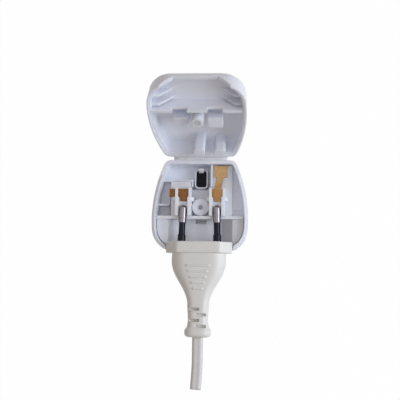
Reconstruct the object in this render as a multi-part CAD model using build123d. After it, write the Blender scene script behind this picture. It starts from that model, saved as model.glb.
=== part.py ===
"""Three-pin converter plug with its lid swung open and a two-pin plug seated in it.

Millimetres. The three pins point down (-Z) from the engagement face at z = 0. The origin is the
middle of the pin pattern on that face. The hinge is on the +Y side and the cord leaves towards -Y.
The closed lid is drawn above the parting plane and then swung open about the hinge axis.
"""

import math
import os

from build123d import *

# Three-pin pattern, pins and sleeves
pin_pitch = 22.23
flat_pin_width = 6.35
flat_pin_thickness = 4.0
flat_pin_length = 17.7
flat_pin_sleeve_length = 9.5
flat_pin_sleeve_wall = 0.6
flat_pin_head_width = 7.6
flat_pin_head_depth = 5.2
flat_pin_head_height = 1.0
pin_tip_chamfer = 0.9
earth_pin_width = 4.0
earth_pin_depth = 8.0
earth_pin_length = 22.7
earth_head_width = 4.9
earth_head_depth = 8.3
earth_head_height = 2.2
earth_head_radius = 1.2
earth_collar_height = 3.0
earth_rim_wall = 0.8
earth_rim_drop = 0.2
snap_width = 2.6
snap_thickness = 1.1
snap_overlap = 1.4
snap_height = 0.8

# Housing outline and walls
hinge_reach = 9.2
front_reach = 16.4
plug_side_room = 7.9
hinge_half_width = 17.9
widest_line_y = -11.0
front_corner_half_width = 22.5
front_corner_radius = 12.5
hinge_corner_radius = 4.0
wall = 2.0
floor = 2.0
draft = 3.0
base_edge_radius = 1.4
rim_lip_height = 0.8
rim_lip_thickness = 0.8
rim_lip_clearance = 0.3
inner_rib_thickness = 1.0
inner_rib_drop = 4.4
inner_rib_setback = 1.1
rear_rib_drop = 2.0
left_rib_step = 1.75
right_rib_step = 1.4
fuse_rib_step = 1.3
earth_bay_half = 5.3
side_floor_rise = 5.5

# Two-pin plug
flange_width = 34.4
flange_height = 13.7
flange_length = 5.8
flange_top_width = 22.2
flange_side_height = 3.2
flange_corner_radius = 0.9
flange_proud = 0.6
round_pin_diameter = 4.0
round_pin_length = 19.0
round_pin_tip_radius = 1.6
round_pin_core_diameter = 2.6
round_pin_sleeve_length = 10.0
round_pin_sleeve_diameter = 3.4
round_pin_sleeve_taper = 0.8
round_pin_collar_diameter = 4.2
round_pin_collar_length = 3.4
round_pin_root = 8.0
round_pin_sleeve_root = 1.2
round_pin_pitch = 18.6
round_pin_tip_pitch = 17.5
shoulder_width = 28.0
shoulder_height = 12.4
shoulder_length = 5.8
brow_width = 26.6
brow_height = 12.2
brow_length = 3.0
waist_width = 16.6
waist_height = 10.6
waist_length = 12.4
taper_length = 21.7
neck_width = 11.3
neck_height = 9.6
neck_length = 10.7
body_side_share = 0.5
plug_body_radius = 1.4
collar_width = 14.0
collar_height = 11.4
collar_length = 4.8
collar_edge_radius = 1.9
grip_bar_count = 5
grip_bar_first_width = 12.2
grip_bar_narrowing = 1.75
grip_bar_pitch = 2.95
grip_bar_thickness = 1.1
grip_bar_relief = 0.45
grip_bar_start = 6.5
relief_slot_length = 5.6
relief_slot_width = 1.3
relief_slot_pitch = 2.9
relief_slot_start = 1.2
relief_slot_count = 4
relief_slot_shift = 1.9
relief_core = 2.2
cord_width = 5.7
cord_thickness = 3.5
cord_pocket_depth = 8.0

# Fuse, its cover in the engagement face, and its contact on the live pin
fuse_diameter = 6.35
fuse_length = 25.4
fuse_cap_length = 6.0
fuse_cap_wall = 0.35
fuse_cover_thickness = 1.6
fuse_cover_notch_width = 4.8
fuse_cover_notch_length = 1.2
fuse_cover_notch_depth = 0.8
fuse_saddle_length = 3.0
fuse_saddle_height = 1.2
fuse_clearance = 0.3
fuse_rear_room = 2.6
fuse_beside_pin = 0.7
fuse_tunnel_wall = 1.2
fuse_clip_thickness = 0.5
fuse_clip_width = 5.6
fuse_clip_rise = 1.6

# Inner carrier with the contacts and their holders
platform_thickness = 0.9
platform_rear_y = 6.4
well_half = 4.6
well_depth = 4.5
carrier_wall = 1.3
carrier_gap = 0.35
carrier_ledge_drop = 2.2
chamber_length = 12.0
partition_thickness = 1.6
partition_drop = 0.8
core_slot_width = 5.7
core_slot_length = 2.0
screw_boss_radius = 4.4
screw_boss_drop = 3.0
screw_before_tips = 0.7
screw_pilot_radius = 1.05
screw_pilot_depth = 4.2
screw_lead_radius = 1.55
screw_lead_depth = 0.9
holder_floor = 0.8
holder_length = 14.5
holder_opening = 5.7
holder_throat = 4.6
holder_wall = 1.3
holder_wall_rise = 0.7
holder_lug = 1.4
holder_lug_length = 2.0
holder_lug_height = 2.0
contact_thickness = 0.6
contact_plate_width = 5.2
contact_plate_length = 6.5
contact_plate_gap = 2.4
contact_nose_width = 3.3
contact_tongue_width = 2.4
contact_tongue_thickness = 0.35
contact_tongue_start = 1.8
contact_bump_length = 1.6
contact_dimple_radius = 1.5
fuse_plate_width = 6.9
fuse_plate_length = 6.0
fuse_plate_shift = 1.4
fuse_plate_room = 0.7
live_strip_width = 3.4
neutral_arm_width = 4.3
neutral_strip_sink = 2.0
neutral_strip_height = 5.2
neutral_strip_offset = 7.2
neutral_leg_width = 3.0

# Lid
lid_headroom = 3.3
lid_plate = 1.6
lid_edge_radius = 3.0
lid_open_angle = 129.0
rim_gap = 0.2
lid_rib_count = 3
lid_rib_pitch = 5.4
lid_rib_thickness = 1.3
lid_rib_start = 2.0
lid_rib_lift = 3.6
lid_rib_clearance = 2.9
lid_bridge_lift = 1.0
lid_bridge_notch = 7.8
lid_bridge_notch_depth = 2.8
lid_boss_radius = 3.0
lid_boss_lift = 1.6
lid_presser_width = 7.6
lid_presser_length = 6.2
lid_presser_overhang = 0.9
earth_post_width = 5.4
earth_post_depth = 5.0
earth_post_shift = 2.9
fuse_post_width = 5.6
fuse_post_depth = 3.0
fuse_post_setback = 2.0
post_corner_radius = 1.3
post_clearance = 0.3
screw_head_radius = 2.1
screw_head_height = 2.0
screw_head_edge = 0.5
screw_shank_radius = 1.2
screw_length = 9.0
screw_slot_length = 2.9
screw_slot_width = 0.7
screw_slot_depth = 0.8
screw_clearance = 0.2
screw_seat_height = 3.6
screw_retract = 5.5

# Film hinge
hinge_width = 27.8
hinge_offset = 0.9
hinge_thickness = 0.5
hinge_land_height = 1.2
hinge_land_proud = 0.3
hinge_bend_radius = 0.8

# Fits
seat_clearance = 0.3
fit_clearance = 0.2

# Route of the cord stub in plan, as steps from the collar's end, and the share of a run its bends use
cord_steps = [(0.0, cord_pocket_depth), (0.0, -5.0), (0.1, -15.4), (-0.7, -26.4)]
cord_bend_share = 0.45

# Places worked out from the sizes above
line_y = -pin_pitch / 2
earth_y = pin_pitch / 2
pin_x = pin_pitch / 2
fuse_clip_y = line_y + flat_pin_head_depth / 2
fuse_front_y = fuse_clip_y + fuse_clip_thickness
fuse_rear_y = fuse_front_y + fuse_length
hinge_wall_y = max(earth_y + hinge_reach, fuse_rear_y + fuse_rear_room)
front_wall_y = line_y - front_reach
beyond = 2 * (hinge_wall_y - front_wall_y)
housing_half_width = flange_width / 2 + plug_side_room
round_pin_radius = round_pin_diameter / 2
fuse_radius = fuse_diameter / 2
holder_stack = platform_thickness + holder_floor + fit_clearance + round_pin_radius
fuse_stack = fuse_cover_thickness + fuse_diameter + 2 * fuse_clearance + holder_stack
pin_head_top = floor + flat_pin_head_height
channel_stack = carrier_wall + seat_clearance + flange_height / 2
plug_stack = pin_head_top + contact_thickness + fuse_clearance + channel_stack
rim_z = max(fuse_stack, plug_stack)
platform_z = rim_z - holder_stack + platform_thickness
platform_under = platform_z - platform_thickness
channel_under = rim_z - channel_stack
ledge_z = rim_z - carrier_ledge_drop
fuse_z = platform_under - fuse_clearance - fuse_radius
fuse_x = pin_x + fuse_beside_pin
tunnel_half = fuse_radius + fuse_clearance
tunnel_front_y = fuse_front_y - fuse_clearance
tunnel_rear_y = fuse_rear_y + fuse_clearance
flange_rear_y = front_wall_y - flange_proud
flange_front_y = flange_rear_y + flange_length
partition_front_y = flange_front_y + chamber_length
partition_rear_y = partition_front_y + partition_thickness
pin_tip_y = flange_front_y + round_pin_length
pin_slope = (round_pin_pitch - round_pin_tip_pitch) / 2 / round_pin_length
pin_lean = math.degrees(math.atan(pin_slope))
contact_plate_y = pin_tip_y + contact_plate_gap
contact_plate_rear_y = contact_plate_y + contact_plate_length
contact_shoulder_y = contact_plate_y + holder_lug_length
tongue_front_y = partition_rear_y + contact_tongue_start
contact_x = round_pin_tip_pitch / 2 + pin_slope * (pin_tip_y - partition_rear_y) / 2
contact_top = platform_z + contact_thickness
holder_rear_y = partition_rear_y + holder_length
holder_half = holder_opening / 2
fuse_plate_x = fuse_x - fuse_plate_shift
fuse_plate_rear_y = hinge_wall_y - wall - fuse_plate_room
fuse_plate_front_y = fuse_plate_rear_y - fuse_plate_length
neutral_strip_x = -contact_x - neutral_strip_offset
platform_left = neutral_strip_x + contact_thickness / 2 + fit_clearance
platform_right = fuse_x + tunnel_half + fuse_tunnel_wall
rear_rib_y = earth_y - inner_rib_setback
platform_rear_left_y = rear_rib_y - inner_rib_thickness / 2 - fit_clearance
neutral_arm_y = contact_plate_rear_y - neutral_arm_width
screw_y = pin_tip_y - screw_before_tips
boss_top_z = rim_z - screw_boss_drop
earth_head_z = floor + earth_collar_height
earth_head_top = earth_head_z + earth_head_height
snap_lip_z = earth_head_top + fit_clearance / 2
earth_head_rear_y = earth_y + earth_head_depth / 2
earth_rim_half = earth_head_width / 2 + fit_clearance + earth_rim_wall
earth_rim_reach = earth_head_depth / 2 + fit_clearance + earth_rim_wall
fuse_rib_x = fuse_plate_x - fuse_plate_width / 2 - fuse_rib_step
dimple_y = fuse_rear_y - fuse_plate_length / 2
lid_ceiling_z = rim_z + flange_height / 2 + lid_headroom
lid_top_z = lid_ceiling_z + lid_plate
lid_boss_z = boss_top_z + lid_boss_lift
screw_seat_z = lid_boss_z + screw_seat_height
hinge_y = hinge_wall_y + hinge_offset
hinge_axis = Axis((0, hinge_y, rim_z), (1, 0, 0))
taper_rear_y = flange_rear_y - shoulder_length - taper_length
collar_front_y = taper_rear_y - neck_length
collar_rear_y = collar_front_y - collar_length


def block(x0, x1, y0, y1, z0, z1):
    """A box between two opposite corners."""
    return Pos((x0 + x1) / 2, (y0 + y1) / 2, (z0 + z1) / 2) * Box(x1 - x0, y1 - y0, z1 - z0)


def post(x, y, radius, z0, z1):
    """An upright round post."""
    return Pos(x, y, (z0 + z1) / 2) * Cylinder(radius, z1 - z0)


def along_y(profile, y0, y1):
    """A profile drawn as (x, z), drawn out from y0 to y1."""
    return extrude(Plane.XZ.offset(-y1) * profile, y1 - y0)


def along_x(profile, x0, x1):
    """A profile drawn as (y, z), drawn out from x0 to x1."""
    return extrude(Plane.YZ.offset(x0) * profile, x1 - x0)


def polygon(*points):
    """A plain face inside straight edges."""
    return make_face(Polyline(*points, close=True))


def open_lid(piece):
    """Swing a piece of the closed lid about the hinge axis to its open place."""
    return piece.rotate(hinge_axis, -lid_open_angle)


def housing_outline(inset=0.0):
    """Plan outline at the parting plane: narrow hinge edge, bowed sides, round front corners."""
    hinge_corner = (hinge_half_width, hinge_wall_y)
    widest = (housing_half_width, widest_line_y)
    front_corner = (front_corner_half_width, front_wall_y)
    half = [
        Line((0, hinge_wall_y), hinge_corner),
        TangentArc(widest, hinge_corner, tangent=(0, 1)),
        TangentArc(widest, front_corner, tangent=(0, -1)),
        Line(front_corner, (0, front_wall_y)),
    ]
    face = make_face(half + [mirror(edge, Plane.YZ) for edge in half])
    corners = face.vertices().filter_by(lambda v: abs(v.X) > hinge_half_width / 2).group_by(Axis.Y)
    face = fillet(corners[0], front_corner_radius)
    corners = face.vertices().filter_by(lambda v: abs(v.X) > hinge_half_width / 2).group_by(Axis.Y)
    face = fillet(corners[-1], hinge_corner_radius)
    return offset(face, -inset) if inset else face


def outline_prism(inset, z0, z1):
    """The outline, set in by an amount, as an upright prism."""
    return extrude(Pos(0, 0, z0) * housing_outline(inset), z1 - z0)


def tapered(inset, z0, z1):
    """The outline, set in by an amount at z0, narrowing to z1 with the mould's draft."""
    lean = abs(z1 - z0) * math.tan(math.radians(draft))
    ends = [Pos(0, 0, z0) * housing_outline(inset), Pos(0, 0, z1) * housing_outline(inset + lean)]
    return loft(ends, ruled=True)


def eight_sided(width, height, top_width, side_height, corner=0.0):
    """Flat eight-sided plug section about its own centre."""
    a, h = width / 2, height / 2
    t, s = top_width / 2, side_height / 2
    face = polygon((a, -s), (a, s), (t, h), (-t, h), (-a, s), (-a, -s), (-t, -h), (t, -h))
    return fillet(face.vertices(), corner) if corner else face


def flange_section(clearance=0.0):
    """The plug flange's section in its place, grown by a clearance."""
    face = eight_sided(flange_width, flange_height, flange_top_width, flange_side_height)
    grown = offset(face, clearance, kind=Kind.INTERSECTION) if clearance else face
    return Pos(0, rim_z) * grown


def plug_way_in():
    """Space in the front walls of base and lid for the plug's flange."""
    return along_y(flange_section(seat_clearance), front_wall_y - beyond, flange_front_y + seat_clearance)


def hinge_land(z0, z1):
    """Straight land on a hinge wall, where the film starts."""
    half = hinge_width / 2
    return block(-half, half, hinge_wall_y - wall / 2, hinge_wall_y + hinge_land_proud, z0, z1)


def rim_lip():
    """Raised inner lip of the base's rim, left out at the hinge and at the plug's way in."""
    ring = outline_prism(wall - rim_lip_thickness, rim_z, rim_z + rim_lip_height)
    ring -= outline_prism(wall, rim_z, rim_z + rim_lip_height)
    way_in = flange_width / 2 + rim_lip_thickness
    ring -= block(-way_in, way_in, -beyond, line_y, rim_z, rim_z + beyond)
    ring -= block(-beyond, beyond, hinge_wall_y - 2 * hinge_corner_radius, beyond, rim_z, rim_z + beyond)
    return ring


def earth_seat():
    """Collar under and round the earth pin's head, with the snap hook that holds the head down."""
    collar = RectangleRounded(2 * earth_rim_half, 2 * earth_rim_reach, earth_head_radius + earth_rim_wall)
    seat = extrude(Pos(0, earth_y, floor) * collar, earth_head_top - earth_rim_drop - floor)
    pocket_width = earth_head_width + 2 * fit_clearance
    pocket = RectangleRounded(pocket_width, earth_head_depth + 2 * fit_clearance, earth_head_radius)
    seat -= extrude(Pos(0, earth_y, earth_head_z) * pocket, earth_head_height)
    hook_y = earth_head_rear_y + fit_clearance
    half = snap_width / 2
    seat += block(-half, half, hook_y, hook_y + snap_thickness, floor, snap_lip_z + snap_height)
    nose = polygon(
        (hook_y, snap_lip_z),
        (hook_y, snap_lip_z + snap_height),
        (hook_y - snap_overlap, snap_lip_z),
    )
    return seat + along_x(nose, -half, half)


def fuse_tunnel():
    """Side walls of the fuse's tunnel, which carry the carrier's roof over the fuse."""
    left = fuse_x - tunnel_half
    right = fuse_x + tunnel_half
    inside = hinge_wall_y - wall / 2
    start_y = fuse_front_y + fit_clearance
    walls = block(left - fuse_tunnel_wall, left, start_y, inside, floor, platform_under)
    return walls + block(right, right + fuse_tunnel_wall, start_y, inside, floor, platform_under)


def inner_ribs():
    """Low stiffening ribs on the floor, behind the contacts and at both sides."""
    half = inner_rib_thickness / 2
    low = rim_z - inner_rib_drop
    inside = hinge_wall_y - wall / 2
    left_end = -earth_bay_half + half + fit_clearance
    start_y = platform_rear_y + fit_clearance
    ribs = block(-beyond, left_end + half, rear_rib_y - half, rear_rib_y + half, floor, low)
    ribs += block(left_end - half, left_end + half, start_y, rear_rib_y, floor, low)
    ribs += block(fuse_rib_x - half, fuse_rib_x + half, start_y, inside, floor, rim_z - rear_rib_drop)
    strip_side = neutral_strip_x - contact_thickness / 2 - fit_clearance
    left_y = contact_plate_y - left_rib_step
    ribs += block(-beyond, strip_side, left_y - half, left_y + half, floor, low)
    right_y = pin_tip_y - right_rib_step
    ribs += block(platform_right, beyond, right_y - half, right_y + half, floor, low)
    return ribs


def side_floor():
    """Raised floor of the bay between the fuse's tunnel and the side wall."""
    left = fuse_x + tunnel_half + fuse_tunnel_wall / 2
    front_y = partition_rear_y + fit_clearance
    return block(left, beyond, front_y, hinge_wall_y, floor, floor + side_floor_rise)


def pin_slots():
    """Slots in the floor for the three pins."""
    half_width = flat_pin_width / 2
    half_depth = flat_pin_thickness / 2
    slots = block(-earth_pin_width / 2, earth_pin_width / 2, earth_y - earth_pin_depth / 2,
                  earth_y + earth_pin_depth / 2, -floor, earth_head_z)
    for x in (-pin_x, pin_x):
        slots += block(x - half_width, x + half_width, line_y - half_depth, line_y + half_depth,
                       -floor, pin_head_top)
    return slots


def base_shell():
    """Open tray with the pin floor, the rim lip, the fuse tunnel and the plug's way in."""
    shell = tapered(0, rim_z, 0)
    shell = fillet(shell.edges().group_by(Axis.Z)[0], base_edge_radius)
    shell -= tapered(wall, rim_z, floor)
    shell += rim_lip()
    shell += hinge_land(rim_z - hinge_land_height, rim_z - rim_gap / 2)
    inside = earth_seat() + fuse_tunnel() + inner_ribs() + side_floor()
    shell += inside & tapered(wall / 2, rim_z, 0)
    shell -= pin_slots()
    shell -= block(fuse_x - tunnel_half, fuse_x + tunnel_half, tunnel_front_y, tunnel_rear_y, -floor,
                   platform_z)
    shell -= plug_way_in()
    return shell


def flat_pin(x):
    """Live or neutral pin: bare end, core under the sleeve, root in the floor and a flat head."""
    def layer(width, depth, z0, z1):
        return block(x - width / 2, x + width / 2, line_y - depth / 2, line_y + depth / 2, z0, z1)

    bare = layer(flat_pin_width, flat_pin_thickness, -flat_pin_length, -flat_pin_sleeve_length)
    bare = chamfer(bare.edges().group_by(Axis.Z)[0], pin_tip_chamfer)
    core_width = flat_pin_width - 2 * flat_pin_sleeve_wall
    core_depth = flat_pin_thickness - 2 * flat_pin_sleeve_wall
    core = layer(core_width, core_depth, -flat_pin_sleeve_length, 0)
    root = layer(flat_pin_width, flat_pin_thickness, 0, floor)
    return bare + core + root + layer(flat_pin_head_width, flat_pin_head_depth, floor, pin_head_top)


def flat_pin_sleeve(x):
    """Insulating sleeve, flush with the pin's faces."""
    core_width = flat_pin_width - 2 * flat_pin_sleeve_wall
    core_depth = flat_pin_thickness - 2 * flat_pin_sleeve_wall
    section = Rectangle(flat_pin_width, flat_pin_thickness) - Rectangle(core_width, core_depth)
    return extrude(Pos(x, line_y, -flat_pin_sleeve_length) * section, flat_pin_sleeve_length)


def earth_pin():
    """Plastic earth pin with a head that rests on its collar."""
    half_width = earth_pin_width / 2
    half_depth = earth_pin_depth / 2
    shaft = block(-half_width, half_width, earth_y - half_depth, earth_y + half_depth, -earth_pin_length,
                  earth_head_z)
    shaft = chamfer(shaft.edges().group_by(Axis.Z)[0], pin_tip_chamfer)
    head = RectangleRounded(earth_head_width, earth_head_depth, earth_head_radius)
    return shaft + extrude(Pos(0, earth_y, earth_head_z) * head, earth_head_height)


def fuse_tube():
    """Ceramic tube between and inside the caps."""
    radius = fuse_radius - fuse_cap_wall
    face = Pos(fuse_x, fuse_z) * Circle(radius)
    return along_y(face, fuse_front_y + fuse_cap_wall, fuse_rear_y - fuse_cap_wall)


def fuse_cap(end_y, inward):
    """Metal cup on one end of the fuse."""
    inner_y = end_y + inward * fuse_cap_length
    face = Pos(fuse_x, fuse_z) * Circle(fuse_radius)
    return along_y(face, min(end_y, inner_y), max(end_y, inner_y)) - fuse_tube()


def fuse_cover():
    """Snap-in cover in the engagement face with two saddles under the fuse and a lever notch."""
    half = tunnel_half - fit_clearance / 2
    front = tunnel_front_y + fit_clearance / 2
    rear = tunnel_rear_y - fit_clearance / 2
    cover = block(fuse_x - half, fuse_x + half, front, rear, 0, fuse_cover_thickness)
    saddle_top = fuse_z - fuse_radius + fuse_saddle_height
    for y in (front + fuse_saddle_length, rear - 2 * fuse_saddle_length):
        cover += block(fuse_x - half, fuse_x + half, y, y + fuse_saddle_length, 0, saddle_top)
    cover -= along_y(Pos(fuse_x, fuse_z) * Circle(fuse_radius), front, rear)
    notch_half = fuse_cover_notch_width / 2
    return cover - block(fuse_x - notch_half, fuse_x + notch_half, rear - fuse_cover_notch_length, rear, 0,
                         fuse_cover_notch_depth)


def fuse_clip():
    """Brass angle on the live pin's head, standing against the fuse's front cap."""
    left = pin_x - fuse_clip_width / 2
    right = pin_x + fuse_clip_width / 2
    foot_front_y = line_y - flat_pin_head_depth / 2
    foot_top = pin_head_top + fuse_clip_thickness
    clip = block(left, right, foot_front_y, fuse_front_y, pin_head_top, foot_top)
    return clip + block(left, right, fuse_clip_y, fuse_front_y, pin_head_top, fuse_z + fuse_clip_rise)


def round_pin_x(y):
    """Distance of a round pin's axis from the middle at a place along it."""
    return round_pin_pitch / 2 - pin_slope * (y - flange_front_y)


def carrier_area(inset=0.0):
    """Room in the tray that stays clear of its leaning walls."""
    return tapered(wall + carrier_gap + inset, rim_z, floor)


def carrier_cradle():
    """Front part of the carrier: skirt, ledges and the trough that takes the plug's lower half."""
    front = block(-beyond, beyond, -beyond, partition_front_y, floor, ledge_z)
    cradle = front - carrier_area(carrier_wall)
    cradle += block(-beyond, beyond, -beyond, partition_front_y, ledge_z - carrier_wall, ledge_z)
    trough = along_y(flange_section(seat_clearance + carrier_wall), -beyond, partition_front_y)
    cradle += trough & front
    slot_half = core_slot_width / 2
    slot_front_y = partition_front_y - core_slot_length
    return cradle - block(-slot_half, slot_half, slot_front_y, partition_front_y, 0, rim_z)


def carrier_partition():
    """Cross wall behind the trough, with a round-bottomed notch for each pin."""
    cross = block(-beyond, beyond, partition_front_y, partition_rear_y, channel_under,
                  rim_z - partition_drop)
    middle_x = round_pin_x((partition_front_y + partition_rear_y) / 2)
    radius = round_pin_radius + fit_clearance
    for x in (-middle_x, middle_x):
        notch = Pos(x, rim_z) * Circle(radius)
        notch += Pos(x, rim_z + radius) * Rectangle(2 * radius, 2 * radius)
        cross -= along_y(notch, partition_front_y, partition_rear_y)
    return cross


def carrier_platform():
    """Raised floor for the contacts and roof over the fuse, on one leg and the fuse tunnel's walls."""
    under = platform_under
    top = block(platform_left, platform_right, partition_rear_y, platform_rear_y, under, platform_z)
    top += block(platform_left, -earth_bay_half, platform_rear_y, platform_rear_left_y, under, platform_z)
    roof_left = fuse_rib_x + inner_rib_thickness / 2 + fit_clearance
    top += block(roof_left, platform_right, platform_rear_y, beyond, under, platform_z)
    top -= post(fuse_x, dimple_y, contact_dimple_radius + fit_clearance, under, platform_z)
    leg_right = platform_left + carrier_wall
    return top + block(platform_left, leg_right, contact_plate_y, platform_rear_left_y, floor, under)


def platform_well():
    """Outside of the sunk floor between the two forks, with room left for the earth pin's collar."""
    outer = well_half + platform_thickness
    under = platform_under - well_depth
    rear_y = earth_y - earth_rim_reach - fit_clearance
    return block(-outer, outer, partition_rear_y, rear_y, under, platform_z)


def sunk_platform():
    """The platform with the well between its forks."""
    half = well_half
    rear_y = platform_rear_y + fit_clearance
    sunk = carrier_platform() + platform_well()
    return sunk - block(-half, half, partition_rear_y, rear_y, platform_z - well_depth, platform_z)


def contact_carrier():
    """Inner moulding in the tray that cradles the plug and carries the contacts and screw boss."""
    carrier = carrier_cradle() + carrier_partition() + sunk_platform()
    carrier &= carrier_area()
    carrier -= along_y(flange_section(seat_clearance), -beyond, partition_front_y)
    carrier += post(0, screw_y, screw_boss_radius, floor, boss_top_z)
    carrier -= post(0, screw_y, screw_pilot_radius, boss_top_z - screw_pilot_depth, rim_z)
    return carrier - post(0, screw_y, screw_lead_radius, boss_top_z - screw_lead_depth, boss_top_z)


def contact_holder(side):
    """White fork round one contact: two walls, a floor over the tongue, a throat and side lugs."""
    top = rim_z + holder_wall_rise
    outer = holder_half + holder_wall
    floor_rear_y = contact_plate_y - fit_clearance

    def upright(a, b, y0, y1, z1):
        """A wall on the platform between two places across the fork, in either order."""
        return block(min(a, b), max(a, b), y0, y1, platform_z, z1)

    fork = upright(-outer, outer, partition_rear_y, floor_rear_y, platform_z + holder_floor)
    for hand in (-1, 1):
        inner = hand * holder_half
        fork += upright(inner, hand * outer, partition_rear_y, holder_rear_y, top)
        fork += upright(hand * holder_throat / 2, inner, partition_rear_y, contact_shoulder_y, top)
        fork += upright(hand * outer, hand * (outer + holder_lug), contact_plate_y, contact_shoulder_y,
                        platform_z + holder_lug_height)
    slot = (contact_tongue_width + fit_clearance) / 2
    slot_front_y = tongue_front_y - fit_clearance
    slot_top = platform_z + contact_tongue_thickness + fit_clearance / 2
    fork -= upright(-slot, slot, slot_front_y, floor_rear_y, slot_top)
    window_rear_y = tongue_front_y + contact_bump_length + fit_clearance
    fork -= upright(-slot, slot, slot_front_y, window_rear_y, top)
    if side < 0:
        fork -= upright(-outer, -holder_half, neutral_arm_y - fit_clearance,
                        contact_plate_rear_y + fit_clearance, contact_top + fit_clearance)
    return Pos(side * contact_x, 0, 0) * fork


def contact_clip(side):
    """Brass plate with a nose and a tongue that runs under the round pin and presses up on it."""
    half = contact_plate_width / 2
    shoulder_y = contact_shoulder_y + fit_clearance
    clip = block(-half, half, shoulder_y, contact_plate_rear_y, platform_z, contact_top)
    half = contact_nose_width / 2
    clip += block(-half, half, contact_plate_y, shoulder_y, platform_z, contact_top)
    half = contact_tongue_width / 2
    clip += block(-half, half, tongue_front_y, contact_plate_y, platform_z,
                  platform_z + contact_tongue_thickness)
    bump_rear_y = tongue_front_y + contact_bump_length
    bump_top = rim_z - round_pin_radius - fit_clearance / 4
    clip += block(-half, half, tongue_front_y, bump_rear_y, platform_z, bump_top)
    return Pos(side * contact_x, 0, 0) * clip


def live_contact():
    """Right clip, slanted strip and the fuse plate with its pressed dimple."""
    half = live_strip_width / 2
    start_y = contact_plate_rear_y - contact_thickness
    strip = polygon(
        (contact_x - half, start_y),
        (contact_x + half, start_y),
        (fuse_plate_x + half, fuse_plate_front_y + contact_thickness),
        (fuse_plate_x - half, fuse_plate_front_y + contact_thickness),
    )
    brass = contact_clip(1) + extrude(Pos(0, 0, platform_z) * strip, contact_thickness)
    plate_half = fuse_plate_width / 2
    brass += block(fuse_plate_x - plate_half, fuse_plate_x + plate_half, fuse_plate_front_y,
                   fuse_plate_rear_y, platform_z, contact_top)
    dimple_z = fuse_z + fuse_radius + fit_clearance / 4
    return brass + post(fuse_x, dimple_y, contact_dimple_radius, dimple_z, contact_top)


def neutral_contact():
    """Left clip, an arm through the holder's wall, an upright strip and a foot on the neutral pin."""
    half_strip = contact_thickness / 2
    brass = contact_clip(-1)
    brass += block(neutral_strip_x - half_strip, -contact_x, neutral_arm_y, contact_plate_rear_y,
                   platform_z, contact_top)
    leg_front_y = partition_rear_y + fit_clearance
    leg_rear_y = leg_front_y + neutral_leg_width
    shelf = platform_under - neutral_strip_sink
    low = contact_top - neutral_strip_height
    upright = polygon(
        (contact_plate_rear_y, contact_top),
        (neutral_arm_y, contact_top),
        (neutral_arm_y, shelf),
        (leg_front_y, shelf),
        (leg_front_y, pin_head_top),
        (leg_rear_y, pin_head_top),
        (leg_rear_y, low),
        (contact_plate_rear_y, low),
    )
    brass += along_x(upright, neutral_strip_x - half_strip, neutral_strip_x + half_strip)
    head_front_y = line_y - flat_pin_head_depth / 2
    return brass + block(neutral_strip_x - half_strip, -pin_x + flat_pin_head_width / 2, head_front_y,
                         leg_rear_y, pin_head_top, pin_head_top + contact_thickness)


def round_pin_frame(side):
    """Place of a round pin: its axis at the flange face, leaning in towards the tip."""
    root = Pos(side * round_pin_pitch / 2, flange_front_y, rim_z)
    return root * Rot(0, 0, side * pin_lean) * Rot(-90, 0, 0)


def round_pin(side):
    """Metal pin: full-size round-nosed end, and a thinner core under the sleeve and in the plug."""
    bare_length = round_pin_length - round_pin_sleeve_length
    tip = Pos(0, 0, round_pin_sleeve_length + bare_length / 2) * Cylinder(round_pin_radius, bare_length)
    tip = fillet(tip.edges().group_by(Axis.Z)[-1], round_pin_tip_radius)
    core_length = round_pin_root + round_pin_sleeve_length
    core = Pos(0, 0, core_length / 2 - round_pin_root) * Cylinder(round_pin_core_diameter / 2, core_length)
    return round_pin_frame(side) * (tip + core)


def round_pin_sleeve(side):
    """Black insulating sleeve on the plug side of a round pin, thicker at its root."""
    slim = round_pin_sleeve_diameter / 2
    stout = round_pin_collar_diameter / 2
    taper_z = round_pin_collar_length + round_pin_sleeve_taper
    core = round_pin_core_diameter / 2
    half_section = polygon(
        (core, -round_pin_sleeve_root),
        (stout, -round_pin_sleeve_root),
        (stout, round_pin_collar_length),
        (slim, taper_z),
        (slim, round_pin_sleeve_length),
        (core, round_pin_sleeve_length),
    )
    return round_pin_frame(side) * revolve(Plane.XZ * half_section, Axis.Z)


def round_pin_bore(side):
    """Bore in the plug for a pin's root and the end of its sleeve."""
    root = Pos(0, 0, -round_pin_root / 2) * Cylinder(round_pin_core_diameter / 2, round_pin_root)
    sleeve = Cylinder(round_pin_collar_diameter / 2, 2 * round_pin_sleeve_root)
    return round_pin_frame(side) * (root + sleeve)


def plug_station(width, height, y):
    """Rounded section of the plug's body at a place along it."""
    top = width * flange_top_width / flange_width
    face = eight_sided(width, height, top, height * body_side_share, plug_body_radius)
    return Plane.XZ.offset(-y) * (Pos(0, rim_z) * face)


def grip_bars():
    """Raised bars across both faces of the plug's body, shorter towards the cord."""
    bars = Part()
    for index in range(grip_bar_count):
        half = grip_bar_first_width / 2 - index * grip_bar_narrowing / 2
        along = grip_bar_start + index * grip_bar_pitch
        y = flange_rear_y - along
        share = (along - shoulder_length) / taper_length
        local = shoulder_height + (neck_height - shoulder_height) * max(share, 0)
        bars += Pos(0, y, rim_z) * Box(2 * half, grip_bar_thickness, local + 2 * grip_bar_relief)
    return bars


def relief_slots():
    """Slots of the bend relief, left and right by turns, down to the cord's core on both faces."""
    slots = Part()
    for index in range(relief_slot_count):
        hand = -1 if index % 2 == 0 else 1
        y = taper_rear_y - relief_slot_start - index * relief_slot_pitch
        place = Pos(hand * relief_slot_shift, y, rim_z)
        slots += place * extrude(SlotOverall(relief_slot_length, relief_slot_width), beyond, both=True)
    core = block(-beyond, beyond, -2 * beyond, 0, rim_z - relief_core, rim_z + relief_core)
    return slots - core


def cord_section():
    """Flat twin cord's section, standing across the plug's axis."""
    return SlotOverall(cord_width, cord_thickness)


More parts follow.
